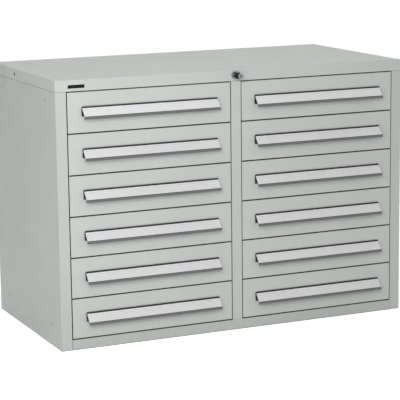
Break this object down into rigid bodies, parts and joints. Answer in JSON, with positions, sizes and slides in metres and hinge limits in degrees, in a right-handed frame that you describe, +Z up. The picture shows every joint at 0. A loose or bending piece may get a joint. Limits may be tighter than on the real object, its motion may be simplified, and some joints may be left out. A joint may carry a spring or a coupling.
{
  "type": "steel drawer cabinet",
  "caption": "Free-standing steel cabinet with side-by-side banks of full-extension drawers, sloping label-holder pulls and a central push lock.",
  "frame": {"origin": "on the floor, under the middle of the outline of the housing, the pulls and the lock", "axes": "+X to the right as seen from the front, +Y to the back, +Z up"},
  "size_m": [1.43, 0.77, 1],
  "materials": {
    "housing_paint": "satin light grey powder coat",
    "drawer_paint": "satin light grey powder coat",
    "tray_paint": "satin light grey powder coat",
    "handle_paint": "satin grey extrusion",
    "zinc_steel": "zinc plated",
    "lock_chrome": "dark polished chrome",
    "lock_core_steel": "satin steel",
    "label_strip": "white label carrier with a blank strip",
    "name_plate": "blank black plate",
    "fastener_steel": "grey screws and rivets"
  },
  "bodies": {
    "cabinet": {"top_cover": "housing_paint", "left_side_panel": "housing_paint", "right_side_panel": "housing_paint", "base_frame": "housing_paint", "back_panel": "housing_paint", "centre_partition": "housing_paint", "left_runner_rack": "zinc_steel", "right_runner_rack": "zinc_steel", "lock_housing": "lock_chrome"},
    "left_drawer_1": {"left_drawer_1_front": "drawer_paint", "left_drawer_1_tray": "tray_paint", "left_drawer_1_handle": "handle_paint"},
    "left_drawer_2": {"left_drawer_2_front": "drawer_paint", "left_drawer_2_tray": "tray_paint", "left_drawer_2_handle": "handle_paint"},
    "left_drawer_3": {"left_drawer_3_front": "drawer_paint", "left_drawer_3_tray": "tray_paint", "left_drawer_3_handle": "handle_paint"},
    "left_drawer_4": {"left_drawer_4_front": "drawer_paint", "left_drawer_4_tray": "tray_paint", "left_drawer_4_handle": "handle_paint"},
    "left_drawer_5": {"left_drawer_5_front": "drawer_paint", "left_drawer_5_tray": "tray_paint", "left_drawer_5_handle": "handle_paint"},
    "left_drawer_6": {"left_drawer_6_front": "drawer_paint", "left_drawer_6_tray": "tray_paint", "left_drawer_6_handle": "handle_paint"},
    "right_drawer_1": {"right_drawer_1_front": "drawer_paint", "right_drawer_1_tray": "tray_paint", "right_drawer_1_handle": "handle_paint"},
    "right_drawer_2": {"right_drawer_2_front": "drawer_paint", "right_drawer_2_tray": "tray_paint", "right_drawer_2_handle": "handle_paint"},
    "right_drawer_3": {"right_drawer_3_front": "drawer_paint", "right_drawer_3_tray": "tray_paint", "right_drawer_3_handle": "handle_paint"},
    "right_drawer_4": {"right_drawer_4_front": "drawer_paint", "right_drawer_4_tray": "tray_paint", "right_drawer_4_handle": "handle_paint"},
    "right_drawer_5": {"right_drawer_5_front": "drawer_paint", "right_drawer_5_tray": "tray_paint", "right_drawer_5_handle": "handle_paint"},
    "right_drawer_6": {"right_drawer_6_front": "drawer_paint", "right_drawer_6_tray": "tray_paint", "right_drawer_6_handle": "handle_paint"},
    "left_drawer_1_carriage": {"left_drawer_1_carriage": "zinc_steel"},
    "left_drawer_2_carriage": {"left_drawer_2_carriage": "zinc_steel"},
    "left_drawer_3_carriage": {"left_drawer_3_carriage": "zinc_steel"},
    "left_drawer_4_carriage": {"left_drawer_4_carriage": "zinc_steel"},
    "left_drawer_5_carriage": {"left_drawer_5_carriage": "zinc_steel"},
    "left_drawer_6_carriage": {"left_drawer_6_carriage": "zinc_steel"},
    "right_drawer_1_carriage": {"right_drawer_1_carriage": "zinc_steel"},
    "right_drawer_2_carriage": {"right_drawer_2_carriage": "zinc_steel"},
    "right_drawer_3_carriage": {"right_drawer_3_carriage": "zinc_steel"},
    "right_drawer_4_carriage": {"right_drawer_4_carriage": "zinc_steel"},
    "right_drawer_5_carriage": {"right_drawer_5_carriage": "zinc_steel"},
    "right_drawer_6_carriage": {"right_drawer_6_carriage": "zinc_steel"},
    "lock_plunger": {"lock_plunger": "lock_chrome"},
    "lock_core": {"lock_core": "lock_core_steel"},
    "lock_bar": {"lock_bar": "zinc_steel"}
  },
  "joints": [
    {"name": "left_drawer_1_slide", "type": "slide", "parent": "cabinet", "child": "left_drawer_1", "axis": [0, -1, 0], "range_m": [0, 0.6]},
    {"name": "left_drawer_2_slide", "type": "slide", "parent": "cabinet", "child": "left_drawer_2", "axis": [0, -1, 0], "range_m": [0, 0.6]},
    {"name": "left_drawer_3_slide", "type": "slide", "parent": "cabinet", "child": "left_drawer_3", "axis": [0, -1, 0], "range_m": [0, 0.6]},
    {"name": "left_drawer_4_slide", "type": "slide", "parent": "cabinet", "child": "left_drawer_4", "axis": [0, -1, 0], "range_m": [0, 0.6]},
    {"name": "left_drawer_5_slide", "type": "slide", "parent": "cabinet", "child": "left_drawer_5", "axis": [0, -1, 0], "range_m": [0, 0.6]},
    {"name": "left_drawer_6_slide", "type": "slide", "parent": "cabinet", "child": "left_drawer_6", "axis": [0, -1, 0], "range_m": [0, 0.6]},
    {"name": "right_drawer_1_slide", "type": "slide", "parent": "cabinet", "child": "right_drawer_1", "axis": [0, -1, 0], "range_m": [0, 0.6]},
    {"name": "right_drawer_2_slide", "type": "slide", "parent": "cabinet", "child": "right_drawer_2", "axis": [0, -1, 0], "range_m": [0, 0.6]},
    {"name": "right_drawer_3_slide", "type": "slide", "parent": "cabinet", "child": "right_drawer_3", "axis": [0, -1, 0], "range_m": [0, 0.6]},
    {"name": "right_drawer_4_slide", "type": "slide", "parent": "cabinet", "child": "right_drawer_4", "axis": [0, -1, 0], "range_m": [0, 0.6]},
    {"name": "right_drawer_5_slide", "type": "slide", "parent": "cabinet", "child": "right_drawer_5", "axis": [0, -1, 0], "range_m": [0, 0.6]},
    {"name": "right_drawer_6_slide", "type": "slide", "parent": "cabinet", "child": "right_drawer_6", "axis": [0, -1, 0], "range_m": [0, 0.6]},
    {"name": "left_drawer_1_carriage_slide", "type": "slide", "parent": "cabinet", "child": "left_drawer_1_carriage", "axis": [0, -1, 0], "range_m": [0, 0.3]},
    {"name": "left_drawer_2_carriage_slide", "type": "slide", "parent": "cabinet", "child": "left_drawer_2_carriage", "axis": [0, -1, 0], "range_m": [0, 0.3]},
    {"name": "left_drawer_3_carriage_slide", "type": "slide", "parent": "cabinet", "child": "left_drawer_3_carriage", "axis": [0, -1, 0], "range_m": [0, 0.3]},
    {"name": "left_drawer_4_carriage_slide", "type": "slide", "parent": "cabinet", "child": "left_drawer_4_carriage", "axis": [0, -1, 0], "range_m": [0, 0.3]},
    {"name": "left_drawer_5_carriage_slide", "type": "slide", "parent": "cabinet", "child": "left_drawer_5_carriage", "axis": [0, -1, 0], "range_m": [0, 0.3]},
    {"name": "left_drawer_6_carriage_slide", "type": "slide", "parent": "cabinet", "child": "left_drawer_6_carriage", "axis": [0, -1, 0], "range_m": [0, 0.3]},
    {"name": "right_drawer_1_carriage_slide", "type": "slide", "parent": "cabinet", "child": "right_drawer_1_carriage", "axis": [0, -1, 0], "range_m": [0, 0.3]},
    {"name": "right_drawer_2_carriage_slide", "type": "slide", "parent": "cabinet", "child": "right_drawer_2_carriage", "axis": [0, -1, 0], "range_m": [0, 0.3]},
    {"name": "right_drawer_3_carriage_slide", "type": "slide", "parent": "cabinet", "child": "right_drawer_3_carriage", "axis": [0, -1, 0], "range_m": [0, 0.3]},
    {"name": "right_drawer_4_carriage_slide", "type": "slide", "parent": "cabinet", "child": "right_drawer_4_carriage", "axis": [0, -1, 0], "range_m": [0, 0.3]},
    {"name": "right_drawer_5_carriage_slide", "type": "slide", "parent": "cabinet", "child": "right_drawer_5_carriage", "axis": [0, -1, 0], "range_m": [0, 0.3]},
    {"name": "right_drawer_6_carriage_slide", "type": "slide", "parent": "cabinet", "child": "right_drawer_6_carriage", "axis": [0, -1, 0], "range_m": [0, 0.3]},
    {"name": "lock_push", "type": "slide", "parent": "cabinet", "child": "lock_plunger", "axis": [0, 1, 0], "range_m": [0, 0.018], "stiffness_N_per_m": 300, "springref_m": -0.01},
    {"name": "lock_key_turn", "type": "hinge", "parent": "lock_plunger", "child": "lock_core", "pos_m": [0, -0.385, 0.979], "axis": [0, 1, 0], "range_deg": [0, 90]},
    {"name": "lock_bar_lift", "type": "slide", "parent": "cabinet", "child": "lock_bar", "axis": [0, 0, 1], "range_m": [0, 0.012]}
  ],
  "couplings": [
    {"joint": "left_drawer_1_carriage_slide", "follows": "left_drawer_1_slide", "ratio": 0.5},
    {"joint": "left_drawer_2_carriage_slide", "follows": "left_drawer_2_slide", "ratio": 0.5},
    {"joint": "left_drawer_3_carriage_slide", "follows": "left_drawer_3_slide", "ratio": 0.5},
    {"joint": "left_drawer_4_carriage_slide", "follows": "left_drawer_4_slide", "ratio": 0.5},
    {"joint": "left_drawer_5_carriage_slide", "follows": "left_drawer_5_slide", "ratio": 0.5},
    {"joint": "left_drawer_6_carriage_slide", "follows": "left_drawer_6_slide", "ratio": 0.5},
    {"joint": "right_drawer_1_carriage_slide", "follows": "right_drawer_1_slide", "ratio": 0.5},
    {"joint": "right_drawer_2_carriage_slide", "follows": "right_drawer_2_slide", "ratio": 0.5},
    {"joint": "right_drawer_3_carriage_slide", "follows": "right_drawer_3_slide", "ratio": 0.5},
    {"joint": "right_drawer_4_carriage_slide", "follows": "right_drawer_4_slide", "ratio": 0.5},
    {"joint": "right_drawer_5_carriage_slide", "follows": "right_drawer_5_slide", "ratio": 0.5},
    {"joint": "right_drawer_6_carriage_slide", "follows": "right_drawer_6_slide", "ratio": 0.5},
    {"joint": "lock_bar_lift", "follows": "lock_push", "ratio": 0.6666}
  ]
}
